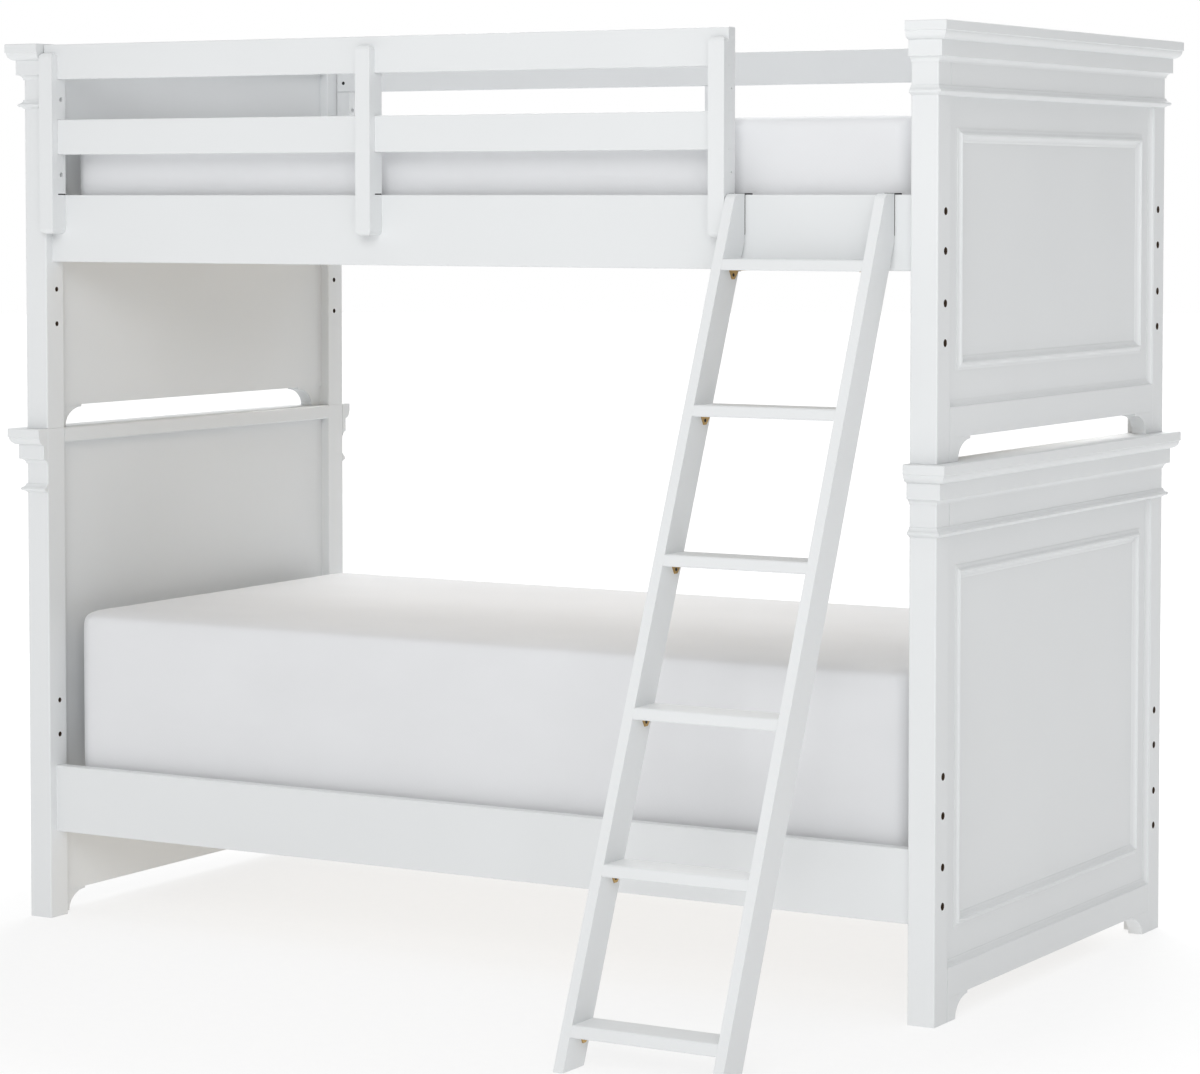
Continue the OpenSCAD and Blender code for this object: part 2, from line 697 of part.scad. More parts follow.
// Outline of a tread between the stiles, sloped to lie flush with them, its four edges eased
function eased_tread(z) = let (high = z + tread_t, e = tread_ease) [
  [ladder_front(z) - stile_depth + e, z], [ladder_front(z) - e, z],
  [ladder_front(z + e), z + e], [ladder_front(high - e), high - e],
  [ladder_front(high) - e, high], [ladder_front(high) - stile_depth + e, high],
  [ladder_front(high - e) - stile_depth, high - e], [ladder_front(z + e) - stile_depth, z + e]
];

// Side profile of a stile: level foot, sloping edges and an upright seat for the hook plate
function stile_outline() = let (
  lean = atan(ladder_lean),
  round_z = stile_top_z - stile_r,
  round_y = ladder_front(round_z) - stile_r / cos(lean)
) concat(
  [[ladder_front(0) - stile_depth, 0], [ladder_front(0), 0]],
  arc(round_y, round_z, stile_r, stile_r, lean, 90, 8),
  [[stile_back_y, stile_top_z], [stile_back_y, (foot_y - stile_depth - stile_back_y) / ladder_lean]]
);

// Runs its children at the screws of each hook plate
module at_hook_screws() for (x = [stile_left_x, stile_right_x], drop = hook_screw_drops)
  translate([x + stile_t / 2, rail_out_y + lift_gap, hook_top_z - drop]) rotate([-90, 0, 0]) children();

// Runs its children at both ends of each tread, with X towards the middle of the ladder
module at_tread_ends() for (number = treads)
  translate([0, ladder_front(tread_z(number)) - stile_depth, tread_z(number)]) {
    translate([stile_left_x + stile_t, 0, 0]) children();
    translate([stile_right_x, 0, 0]) mirror([1, 0, 0]) children();
  }

// Round-head screws of a tread bracket: one into the stile and one up into the tread
module bracket_screws(gap = 0) for (turn = [[0, -90, 0], [0, 0, 0]])
  translate(turn[1] == 0
    ? [bracket_screw_reach, bracket_back, -bracket_t]
    : [bracket_t, bracket_back + bracket_screw_side, -bracket_screw_drop]) rotate(turn) {
      translate([0, 0, -bracket_screw_head_h]) cylinder(d = bracket_screw_head_d, h = bracket_screw_head_h);
      cylinder(d = bracket_screw_d + 2 * gap, h = bracket_screw_l + gap);
    }

module ladder_stiles() color("#e3e5e5") at_origin() on_side(front) difference() {
  for (x = [stile_left_x, stile_right_x]) along_x(x, stile_t) polygon(stile_outline());
  for (number = treads)
    along_x(stile_left_x + stile_t - housing - joint_gap, ladder_clear + 2 * (housing + joint_gap))
      polygon(tread_tongue(tread_z(number), joint_gap, over));
  at_hook_screws() screw(hook_screw_l, screw_gap);
  at_tread_ends() bracket_screws(screw_gap);
}

module tread(number) color("#e9ebea") at_origin() on_side(front) difference() {
  union() {
    along_x(stile_left_x + stile_t + joint_gap, ladder_clear - 2 * joint_gap)
      polygon(eased_tread(tread_z(number)));
    along_x(stile_left_x + stile_t - housing, ladder_clear + 2 * housing)
      polygon(tread_tongue(tread_z(number), 0, -tread_ease));
  }
  at_tread_ends() bracket_screws(screw_gap);
}

module ladder_tread_1() tread(1);
module ladder_tread_2() tread(2);
module ladder_tread_3() tread(3);
module ladder_tread_4() tread(4);
module ladder_tread_5() tread(5);
module ladder_tread_6() tread(6);

// Bent steel plate on each stile, over the rail and down behind it
module ladder_hooks() color("#2f3032") at_origin() on_side(front) difference() {
  lip_y = rail_in_y - lift_gap;
  for (x = [stile_left_x, stile_right_x]) along_x(x, stile_t) polygon([
    [stile_back_y, hook_top_z], [stile_back_y, hook_top_z - hook_leg],
    [stile_back_y - hook_t, hook_top_z - hook_leg], [stile_back_y - hook_t, hook_top_z - hook_t],
    [lip_y, hook_top_z - hook_t], [lip_y, hook_top_z - hook_t - hook_lip],
    [lip_y - hook_t, hook_top_z - hook_t - hook_lip], [lip_y - hook_t, hook_top_z]
  ]);
  at_hook_screws() screw(hook_screw_l, screw_gap);
}

// Brass angle under each end of a tread, with a tapered leg on the stile
module tread_brackets() color("#b3925a") at_origin() on_side(front) difference() {
  at_tread_ends() {
    along_x(0, bracket_t) polygon([
      [bracket_back - bracket_w / 2, 0], [bracket_back - bracket_w / 2, -bracket_t],
      [bracket_back - bracket_tip_back, -bracket_h], [bracket_back + bracket_tip_front, -bracket_h],
      [bracket_back + bracket_w / 2, -bracket_t], [bracket_back + bracket_w / 2, 0]
    ]);
    translate([0, bracket_back - bracket_w / 2, -bracket_t]) cube([bracket_reach, bracket_w, bracket_t]);
  }
  at_tread_ends() bracket_screws(screw_gap);
}

module ladder_screws() color("#3a3b3d") at_origin() on_side(front) {
  at_hook_screws() screw(hook_screw_l);
  at_tread_ends() bracket_screws();
}

lower_left_front_post();
lower_left_back_post();
lower_left_stiles();
lower_left_top_rail();
lower_left_bottom_rail();
lower_left_panels();
lower_left_mouldings();
lower_left_cornice();
lower_right_front_post();
lower_right_back_post();
lower_right_stiles();
lower_right_top_rail();
lower_right_bottom_rail();
lower_right_panels();
lower_right_mouldings();
lower_right_cornice();
upper_left_front_post();
upper_left_back_post();
upper_left_stiles();
upper_left_top_rail();
upper_left_bottom_rail();
upper_left_panels();
upper_left_mouldings();
upper_left_cornice();
upper_right_front_post();
upper_right_back_post();
upper_right_stiles();
upper_right_top_rail();
upper_right_bottom_rail();
upper_right_panels();
upper_right_mouldings();
upper_right_cornice();
lower_front_rail();
lower_back_rail();
upper_front_rail();
upper_back_rail();
lower_rail_fittings();
upper_rail_fittings();
stacking_pins();
lower_cleats();
upper_cleats();
lower_slats();
upper_slats();
lower_mattress();
upper_mattress();
front_guard_supports();
front_guard_boards();
back_guard_supports();
back_guard_boards();
guard_fixings();
ladder_stiles();
ladder_tread_1();
ladder_tread_2();
ladder_tread_3();
ladder_tread_4();
ladder_tread_5();
ladder_tread_6();
ladder_hooks();
tread_brackets();
ladder_screws();
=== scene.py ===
import math

import bmesh
import bpy
from mathutils import Matrix, Vector


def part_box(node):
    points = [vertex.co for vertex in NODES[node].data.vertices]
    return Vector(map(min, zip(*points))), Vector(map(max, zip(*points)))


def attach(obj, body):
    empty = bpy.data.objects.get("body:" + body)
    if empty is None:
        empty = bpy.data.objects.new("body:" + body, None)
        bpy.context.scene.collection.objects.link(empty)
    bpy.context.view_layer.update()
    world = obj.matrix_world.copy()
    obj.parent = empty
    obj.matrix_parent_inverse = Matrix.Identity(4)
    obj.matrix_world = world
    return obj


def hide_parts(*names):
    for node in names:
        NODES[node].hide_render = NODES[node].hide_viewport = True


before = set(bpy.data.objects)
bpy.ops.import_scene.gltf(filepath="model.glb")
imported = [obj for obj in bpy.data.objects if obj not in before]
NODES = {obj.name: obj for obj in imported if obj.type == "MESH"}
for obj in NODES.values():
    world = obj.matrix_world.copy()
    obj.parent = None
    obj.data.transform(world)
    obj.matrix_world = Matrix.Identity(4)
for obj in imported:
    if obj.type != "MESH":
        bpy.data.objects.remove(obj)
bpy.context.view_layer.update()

# Looks of a twin-over-twin bunk bed, laid out as an add-on. The frame holds the shape; each operator
# below finishes one group of pieces. Lengths are in metres.

bl_info = {
    "name": "Bunk Bed Looks",
    "version": (1, 0, 0),
    "blender": (4, 5, 0),
    "location": "View3D > Sidebar > Bunk Bed",
    "description": "Paint, timber, hardware, mattresses and stage of a panelled bunk bed",
    "category": "Object",
}

MM = 0.001


# Stations in metres, as in the part's own drawing
SHIFT_Y = 0.2973365
POST_IN_X, POST_X = 0.965, 0.053
RAIL_IN_Y, RAIL_OUT_Y = 0.483, 0.508
RAIL_MIDDLE_Y = (RAIL_IN_Y + RAIL_OUT_Y) / 2
UPPER_Z, RAIL_TOP_Z = 1.0003, 1.4733
# Each post is bored for two pairs of bolts: the lower bed's rails use the low pair, the upper bed's the high
LOW_PAIR_Z, HIGH_PAIR_Z, PAIR_PITCH = 0.247, 0.409, 0.070
BOLTED_Z = {"lower": LOW_PAIR_Z, "upper": UPPER_Z + HIGH_PAIR_Z}
BORE_R, WIDE_BORE_R, WIDE_BORE_DEPTH = 0.005, 0.007, 0.030
BOARD_Z, BOARD_H, BOARD_T = (1.5543, 1.7053), 0.070, 0.024
SUPPORT_W = 0.033
FRONT_SUPPORT_X = (-0.963, -0.196, 0.571)
BACK_SUPPORT_X = (-0.963, -0.0165, 0.930)
STILE_X, STILE_T, STILE_DEPTH = (0.606, 0.9055), 0.0195, 0.070
FOOT_Y, LADDER_LEAN = 1.150673, 0.41
TREADS, TREAD_FIRST, TREAD_PITCH = 6, 0.056, 0.2565
LIFT_GAP, HOOK_T, BRACKET_T = 0.0003, 0.0025, 0.0015
BRACKET_BACK = 0.020
# Two heights closer than this are the same height
SAME = 1e-5


def linear(hex_colour):
    """Turns an sRGB hex colour into linear red, green and blue."""
    parts = [int(hex_colour[i:i + 2], 16) / 255 for i in (1, 3, 5)]
    return tuple(p / 12.92 if p <= 0.04045 else ((p + 0.055) / 1.055) ** 2.4 for p in parts)


# ---- Settings ----

def colour(name, description, hex_colour):
    """A colour property with its default given as sRGB hex."""
    return bpy.props.FloatVectorProperty(
        name=name, description=description, default=linear(hex_colour), size=3, min=0, max=1, subtype="COLOR")


class BunkFinishSettings(bpy.types.PropertyGroup):
    """Colours of the finishes."""
    paint: colour("Paint", "Satin white lacquer on the timber", "#E2E4E5")
    timber: colour("Pine", "Planed pine of the slats and cleats", "#E6D8BE")
    timber_grain: colour("Pine grain", "Darker summer growth in the pine", "#CDB389")
    zinc: colour("Zinc", "Zinc-plated steel of the stacking pins", "#B4B7BA")
    black_steel: colour("Black steel", "Black steel of bolts, hooks and screws", "#1B1C1E")
    brass: colour("Brass", "Brass plating of the tread brackets", "#C2A067")
    cover: colour("Mattress cover", "White knitted cover of the mattresses", "#E2E3E5")


class BunkMattressSettings(bpy.types.PropertyGroup):
    """Sizes of the padded mattresses."""
    edge_radius: bpy.props.FloatProperty(
        name="Edge radius", description="Softness of the top and bottom edges",
        default=0.012, min=0.006, max=0.06, unit="LENGTH")
    corner_radius: bpy.props.FloatProperty(
        name="Corner radius", description="Radius of the upright corners",
        default=0.036, min=0.03, max=0.1, unit="LENGTH")
    swell: bpy.props.FloatProperty(
        name="Swell", description="Most that the padding swells out of the cut shape",
        default=0.004, min=0.0, max=0.02, unit="LENGTH")
    voxel: bpy.props.FloatProperty(
        name="Mesh size", description="Spacing of the cloth's points in the simulation",
        default=0.0175, min=0.008, max=0.04, unit="LENGTH")


class BunkStageSettings(bpy.types.PropertyGroup):
    """Camera and lights."""
    camera_place: bpy.props.FloatVectorProperty(
        name="Camera place", description="Where the camera stands",
        default=(3.7845, -6.1126, 1.4681), size=3, unit="LENGTH", subtype="TRANSLATION")
    camera_turn: bpy.props.FloatProperty(
        name="Camera turn", description="Angle that the camera is turned from looking along +Y",
        default=math.radians(30.406), unit="ROTATION", subtype="ANGLE")
    camera_tilt: bpy.props.FloatProperty(
        name="Camera tilt", description="Angle that the camera looks down",
        default=math.radians(3.0), unit="ROTATION", subtype="ANGLE")
    lens: bpy.props.FloatProperty(
        name="Lens", description="Focal length in millimetres", default=110.914, min=20)
    shift: bpy.props.FloatProperty(
        name="Shift", description="Upward shift of the lens that keeps the uprights upright", default=-0.1214)
    overhead: bpy.props.FloatProperty(
        name="Overhead", description="Brightness of the room straight above", default=1, min=0, max=1)
    key_light: bpy.props.FloatProperty(
        name="Key light", description="Power of the softbox in front in watts", default=143, min=0)
    side_light: bpy.props.FloatProperty(
        name="Side light", description="Power of the softbox towards +X in watts", default=76, min=0)
    back_light: bpy.props.FloatProperty(
        name="Back light", description="Power of the softbox behind in watts", default=220, min=0)
    # Glow of the floor near the bed, lower than far out: a painted shadow round the bed
    floor_glow: bpy.props.FloatProperty(
        name="Floor glow", description="Light given off by the background floor", default=0.74, min=0, max=1)


# ---- Materials ----

def add_node(tree, kind, settings=None, **links):
    """Adds a node, sets its properties or inputs, and links named inputs from other sockets."""
    made = tree.nodes.new(kind)
    for key, value in (settings or {}).items():
        if isinstance(key, int) or key in made.inputs:
            made.inputs[key].default_value = value
        else:
            setattr(made, key, value)
    for key, socket in links.items():
        target = made.inputs[int(key[1:])] if key[0] == "i" and key[1:].isdigit() else made.inputs[key]
        tree.links.new(socket, target)
    return made


def new_material(name, **shader):
    """A material with a Principled shader, its constants set on the shader's own sockets."""
    material = bpy.data.materials.new(name)
    material.use_nodes = True
    tree = material.node_tree
    principled = tree.nodes["Principled BSDF"]
    for key, value in shader.items():
        principled.inputs[key.replace("_", " ")].default_value = value
    return material, tree, principled


def laid_out(tree, *sizes_mm):
    """Object coordinates in which a pattern repeats at a real size in millimetres, along each axis."""
    if len(sizes_mm) == 1:
        sizes_mm *= 3
    place = add_node(tree, "ShaderNodeTexCoord")
    scale = [1 / (size * MM) for size in sizes_mm]
    return add_node(tree, "ShaderNodeMapping", {"Scale": scale}, Vector=place.outputs["Object"]).outputs[0]


def along(axis, length_mm, width_mm):
    """Sizes of a pattern that is long along one axis and narrow across it."""
    sizes = [width_mm] * 3
    sizes[axis] = length_mm
    return sizes


def rgba(values):
    """A colour with its alpha."""
    return (*values, 1.0)


def shade(values, factor):
    """The same colour, darker or lighter."""
    return tuple(min(1.0, v * factor) for v in values)


def fold(tree, socket, middle, half=0.0):
    """Distance of a coordinate from a middle, less half a spacing: a fold for patterns that mirror."""
    from_middle = add_node(tree, "ShaderNodeMath", {"operation": "SUBTRACT", 1: middle}, i0=socket)
    distance = add_node(tree, "ShaderNodeMath", {"operation": "ABSOLUTE"}, i0=from_middle.outputs[0])
    less = add_node(tree, "ShaderNodeMath", {"operation": "SUBTRACT", 1: half}, i0=distance.outputs[0])
    return less.outputs[0]


def bare_and_shaded_bores(tree, tone):
    """Colours the bolt bores of the posts dark brown: partly the bare end grain, which the spray gun doesn't
    reach, and partly painted shade inside the bores.
    """
    place = add_node(tree, "ShaderNodeTexCoord")
    split = add_node(tree, "ShaderNodeSeparateXYZ", Vector=place.outputs["Object"])
    across = fold(tree, split.outputs["Y"], SHIFT_Y, RAIL_MIDDLE_Y)
    level = add_node(tree, "ShaderNodeMath", {"operation": "WRAP", 1: 0.0, 2: UPPER_Z}, i0=split.outputs["Z"])
    middle, half = (HIGH_PAIR_Z + LOW_PAIR_Z) / 2, (HIGH_PAIR_Z - LOW_PAIR_Z) / 2
    pair = fold(tree, level.outputs[0], middle, half)
    up = fold(tree, pair, 0.0, PAIR_PITCH / 2)
    offset = add_node(tree, "ShaderNodeCombineXYZ", X=across, Y=up)
    radius = add_node(tree, "ShaderNodeVectorMath", {"operation": "LENGTH"}, i0=offset.outputs[0])
    # The bore is wider near the post's outer face. A hair is added, so that its wall counts as inside
    wall, step = 0.00003, 0.0001
    narrow_x = POST_IN_X + POST_X - WIDE_BORE_DEPTH - step
    wide = add_node(tree, "ShaderNodeMath", {"operation": "GREATER_THAN", 1: narrow_x},
                    i0=fold(tree, split.outputs["X"], 0.0))
    reach = add_node(tree, "ShaderNodeMath", {"operation": "MULTIPLY_ADD", 1: WIDE_BORE_R - BORE_R,
                                              2: BORE_R + wall}, i0=wide.outputs[0])
    inside = add_node(tree, "ShaderNodeMath", {"operation": "LESS_THAN"},
                      i0=radius.outputs["Value"], i1=reach.outputs[0])
    # Dark brown: the bare end grain, darkened further as painted shade inside the bores
    bored = add_node(tree, "ShaderNodeMix", {"data_type": "RGBA", 7: rgba(linear("#4A3A2C"))},
                     i0=inside.outputs[0], i6=tone)
    return bored.outputs[2]


def lacquered_timber(name, paint, grain_axis=None, bored=False):
    """Satin polyurethane lacquer, sprayed on birch or fibreboard: even, soft highlights, a faint
    orange peel and, on birch, the grain just showing through as long shallow ridges."""
    material, tree, shader = new_material(name, IOR=1.45)
    # Slow drift of tone over about 400 mm, from the thickness of the coats
    drift = add_node(tree, "ShaderNodeTexNoise", {"Scale": 1.0, "Detail": 2.0}, Vector=laid_out(tree, 400))
    coats = add_node(tree, "ShaderNodeMapRange", {"From Min": 0.3, "From Max": 0.7}, Value=drift.outputs[0])
    tone = add_node(tree, "ShaderNodeMix", {"data_type": "RGBA", 6: rgba(shade(paint, 0.975)), 7: rgba(paint)},
                    i0=coats.outputs["Result"]).outputs[2]
    # The posts' bolt bores are painted dark brown: bare end grain plus painted shade
    if bored:
        tone = bare_and_shaded_bores(tree, tone)
    tree.links.new(tone, shader.inputs["Base Color"])
    # Orange peel is about 2 mm across, drawn at 5 mm so that it shows
    peel = add_node(tree, "ShaderNodeTexNoise", {"Scale": 1.0, "Detail": 3.0, "Roughness": 0.6},
                    Vector=laid_out(tree, 5))
    rough = add_node(tree, "ShaderNodeMapRange", {"To Min": 0.44, "To Max": 0.54}, Value=peel.outputs[0])
    tree.links.new(rough.outputs["Result"], shader.inputs["Roughness"])
    height = peel.outputs[0]
    if grain_axis is not None:
        # Birch figure: lines about 4 mm apart and 300 mm long
        grain = add_node(tree, "ShaderNodeTexNoise", {"Scale": 1.0, "Detail": 2.0},
                         Vector=laid_out(tree, *along(grain_axis, 303, 4)))
        height = add_node(tree, "ShaderNodeMath", {"operation": "MULTIPLY_ADD", 1: 0.6},
                          i0=grain.outputs[0], i2=peel.outputs[0]).outputs[0]
    bump = add_node(tree, "ShaderNodeBump", {"Strength": 0.10, "Distance": 0.0004}, Height=height)
    tree.links.new(bump.outputs[0], shader.inputs["Normal"])
    return material


def planed_pine(name, light, dark, grain_axis):
    """Planed, unfinished pine: growth rings cut along the board as long wavering stripes."""
    material, tree, shader = new_material(name, IOR=1.45)
    place = laid_out(tree, *along(grain_axis, 833, 45.5))
    sway = add_node(tree, "ShaderNodeTexNoise", {"Scale": 1.4, "Detail": 2.0}, Vector=place)
    bent = add_node(tree, "ShaderNodeVectorMath", {"operation": "MULTIPLY_ADD", 1: (1.6, 1.6, 1.6)},
                    i0=sway.outputs["Color"], i2=place)
    # Rings about 7 mm apart
    rings = add_node(tree, "ShaderNodeTexWave", {"wave_type": "RINGS", "Scale": 1.1, "Distortion": 1.5},
                     Vector=bent.outputs[0])
    growth = add_node(tree, "ShaderNodeMapRange", {"From Min": 0.35, "From Max": 1.0},
                      Value=rings.outputs["Fac"])
    tone = add_node(tree, "ShaderNodeMix", {"data_type": "RGBA", 6: rgba(light), 7: rgba(dark)},
                    i0=growth.outputs["Result"])
    tree.links.new(tone.outputs[2], shader.inputs["Base Color"])
    # Fibres left by the plane, 1.1 mm apart and 55 mm long
    fibre = add_node(tree, "ShaderNodeTexNoise", {"Scale": 1.0, "Detail": 3.0},
                     Vector=laid_out(tree, *along(grain_axis, 55.6, 1.11)))
    rough = add_node(tree, "ShaderNodeMapRange", {"To Min": 0.55, "To Max": 0.75}, Value=fibre.outputs[0])
    tree.links.new(rough.outputs["Result"], shader.inputs["Roughness"])
    bump = add_node(tree, "ShaderNodeBump", {"Strength": 0.3, "Distance": 0.0003}, Height=fibre.outputs[0])
    tree.links.new(bump.outputs[0], shader.inputs["Normal"])
    return material


def plated_steel(name, tint, roughness):
    """Plated or blackened steel: a metal whose skin breaks the highlight up into fine specks."""
    material, tree, shader = new_material(name, Metallic=1.0)
    # Specks of 0.1 mm, drawn at 0.6 mm so that they show
    specks = add_node(tree, "ShaderNodeTexNoise", {"Scale": 1.0, "Detail": 4.0}, Vector=laid_out(tree, 0.6))
    tone = add_node(tree, "ShaderNodeMix", {"data_type": "RGBA", 6: rgba(shade(tint, 0.82)),
                                            7: rgba(shade(tint, 1.08))}, i0=specks.outputs[0])
    tree.links.new(tone.outputs[2], shader.inputs["Base Color"])
    rough = add_node(tree, "ShaderNodeMapRange", {"To Min": roughness - 0.08, "To Max": roughness + 0.1},
                     Value=specks.outputs[0])
    tree.links.new(rough.outputs["Result"], shader.inputs["Roughness"])
    bump = add_node(tree, "ShaderNodeBump", {"Strength": 0.15, "Distance": 0.0001}, Height=specks.outputs[0])
    tree.links.new(bump.outputs[0], shader.inputs["Normal"])
    return material


def powder_coat(name, tint):
    """Black polyester powder coat on steel: a half-matt skin with a leathery grain of about 1 mm."""
    material, tree, shader = new_material(name, IOR=1.5)
    cells = add_node(tree, "ShaderNodeTexVoronoi", {"Scale": 1.0}, Vector=laid_out(tree, 1))
    grain = cells.outputs["Distance"]
    tone = add_node(tree, "ShaderNodeMix", {"data_type": "RGBA", 6: rgba(tint), 7: rgba(shade(tint, 1.6))},
                    i0=grain)
    tree.links.new(tone.outputs[2], shader.inputs["Base Color"])
    rough = add_node(tree, "ShaderNodeMapRange", {"To Min": 0.42, "To Max": 0.6}, Value=grain)
    tree.links.new(rough.outputs["Result"], shader.inputs["Roughness"])
    bump = add_node(tree, "ShaderNodeBump", {"Strength": 0.35, "Distance": 0.0002}, Height=grain)
    tree.links.new(bump.outputs[0], shader.inputs["Normal"])
    return material


def knitted_cover(name, tint):
    """Fine cotton jersey stretched over foam: a matt, slightly downy surface with wales 1.5 mm apart,
    drawn at 4 mm so that they show, and slow shallow puckers where the cover is slack, painted a little darker
    in their hollows as shade."""
    material, tree, shader = new_material(
        name, IOR=1.45, Roughness=0.92, Sheen_Weight=0.25, Sheen_Roughness=0.5, Specular_IOR_Level=0.2)
    place = laid_out(tree, 4)
    wales, rows = (
        add_node(tree, "ShaderNodeTexWave", {"bands_direction": way, "Scale": 0.32, "Distortion": 0.4},
                 Vector=place) for way in ("X", "DIAGONAL"))
    knit = add_node(tree, "ShaderNodeMath", {"operation": "MULTIPLY"},
                    i0=wales.outputs[1], i1=rows.outputs[1])
    pucker = add_node(tree, "ShaderNodeTexNoise", {"Scale": 1.0, "Detail": 3.0},
                      Vector=laid_out(tree, 200, 143, 111))
    painted_pucker_shade = add_node(tree, "ShaderNodeMapRange", {"From Min": 0.25, "From Max": 0.75},
                     Value=pucker.outputs[0])
    # The cover is a little darker in the puckers' hollows: painted shade
    tone = add_node(tree, "ShaderNodeMix", {"data_type": "RGBA", 6: rgba(shade(tint, 0.97)), 7: rgba(tint)},
                    i0=painted_pucker_shade.outputs["Result"])
    between = add_node(tree, "ShaderNodeMapRange", {"From Min": -3.0, "From Max": 1.0},
                       Value=knit.outputs[0])
    threads = add_node(tree, "ShaderNodeMix", {"data_type": "RGBA", "blend_type": "MULTIPLY",
                                               7: (0.985, 0.985, 0.985, 1)},
                       i0=between.outputs["Result"], i6=tone.outputs[2])
    tree.links.new(threads.outputs[2], shader.inputs["Base Color"])
    fine = add_node(tree, "ShaderNodeBump", {"Strength": 0.12, "Distance": 0.0005}, Height=knit.outputs[0])
    slow = add_node(tree, "ShaderNodeBump", {"Strength": 0.25, "Distance": 0.004},
                    Height=pucker.outputs[0], Normal=fine.outputs[0])
    tree.links.new(slow.outputs[0], shader.inputs["Normal"])
    return material


def dress(names, material):
    """Gives CAD nodes a material in their own slots."""
    for name in names:
        slots = NODES[name].data.materials
        if len(slots) == 0:
            slots.append(material)
        for i in range(len(slots)):
            slots[i] = material


def names_with(*endings):
    """The CAD nodes whose names end in one of these ways."""
    return [n for n in NODES if n.endswith(endings)]


# ---- Modelling helpers ----

def leave_edit():
    """Goes back to object mode."""
    if bpy.context.object and bpy.context.object.mode != "OBJECT":
        bpy.ops.object.mode_set(mode="OBJECT")


def only(piece):
    """Makes one piece the only selected and active one."""
    leave_edit()
    bpy.ops.object.select_all(action="DESELECT")
    piece.hide_set(False)
    piece.select_set(True)
    bpy.context.view_layer.objects.active = piece


def add_block(name, low, high):
    """A cube primitive that fills the box from low to high."""
    leave_edit()
    bpy.ops.object.select_all(action="DESELECT")
    bpy.ops.mesh.primitive_cube_add(size=1, location=(Vector(low) + Vector(high)) / 2)
    piece = bpy.context.object
    piece.name = piece.data.name = name
    piece.scale = Vector(high) - Vector(low)
    bpy.ops.object.transform_apply(location=True, rotation=True, scale=True)
    return piece


def select_edges(piece, test):
    """In edit mode, selects the edges whose two ends pass the test."""
    bpy.ops.mesh.select_mode(type="EDGE")
    mesh = bmesh.from_edit_mesh(piece.data)
    for part in (*mesh.verts, *mesh.edges, *mesh.faces):
        part.select = False
    for edge in mesh.edges:
        edge.select = test(edge.verts[0].co, edge.verts[1].co)
    bmesh.update_edit_mesh(piece.data)


def apply_modifier(piece, kind, **settings):
    """Adds a modifier and applies it at once."""
    only(piece)
    made = piece.modifiers.new(kind.title(), kind)
    for key, value in settings.items():
        setattr(made, key, value)
    bpy.ops.object.modifier_apply(modifier=made.name)


# ---- Mattresses ----

def swell_padding(piece, most, pressure=4.0, frames=20):
    """Swells a padded piece with a pressurised cloth, and caps how far each point may move."""
    rest = [v.co.copy() for v in piece.data.vertices]
    only(piece)
    cloth = piece.modifiers.new("Cloth", "CLOTH")
    cloth.settings.use_pressure = True
    cloth.settings.uniform_pressure_force = pressure
    cloth.settings.effector_weights.gravity = 0
    cloth.settings.tension_stiffness = 25
    cloth.settings.compression_stiffness = 25
    cloth.settings.bending_stiffness = 3
    cloth.point_cache.frame_start, cloth.point_cache.frame_end = 1, frames
    for number in range(1, frames + 1):
        bpy.context.scene.frame_set(number)
    bpy.ops.object.modifier_apply(modifier=cloth.name)
    for vertex, start in zip(piece.data.vertices, rest):
        moved = vertex.co - start
        if moved.length > most:
            vertex.co = start + moved * (most / moved.length)
    bpy.context.scene.frame_set(1)


def make_mattress(node, body, settings, material):
    """A foam mattress in a fitted jersey cover: a box with soft edges and round corners that swells
    a little between them, and lies flat on the slats."""
    low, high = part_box(node)
    inset = Vector((1, 1, 0.5)) * settings.swell
    piece = add_block(node + "_cover", low + inset, high - inset)
    bpy.ops.object.mode_set(mode="EDIT")
    select_edges(piece, lambda a, b: abs(a.z - b.z) > SAME)
    bpy.ops.mesh.bevel(offset=settings.corner_radius, segments=8, profile=0.5, affect="EDGES")
    top, bottom = high.z - inset.z, low.z + inset.z
    select_edges(piece, lambda a, b: abs(a.z - b.z) < SAME and min(abs(a.z - top), abs(a.z - bottom)) < SAME)
    bpy.ops.mesh.bevel(offset=settings.edge_radius, segments=4, profile=0.5, affect="EDGES")
    leave_edit()
    apply_modifier(piece, "REMESH", mode="VOXEL", voxel_size=settings.voxel, adaptivity=0)
    apply_modifier(piece, "SMOOTH", factor=0.5, iterations=1)
    swell_padding(piece, settings.swell)
    for vertex in piece.data.vertices:
        vertex.co.z = max(vertex.co.z, low.z)
        for axis in (0, 1):
            vertex.co[axis] = min(max(vertex.co[axis], low[axis]), high[axis])
    apply_modifier(piece, "SUBSURF", levels=1, render_levels=1)
    bpy.ops.object.shade_smooth()
    piece.data.materials.clear()
    piece.data.materials.append(material)
    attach(piece, body)
    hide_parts(node)


class BUNK_OT_mattresses(bpy.types.Operator):
    """Model both padded mattresses in their covers"""
    bl_idname = "bunk.mattresses"
    bl_label = "Mattresses"

    def execute(self, context):
        cover = knitted_cover("cotton_jersey_cover", tuple(context.scene.bunk_finish.cover))
        for node in ("lower_mattress", "upper_mattress"):
            make_mattress(node, node, context.scene.bunk_mattress, cover)
        return {"FINISHED"}


# ---- Fasteners ----

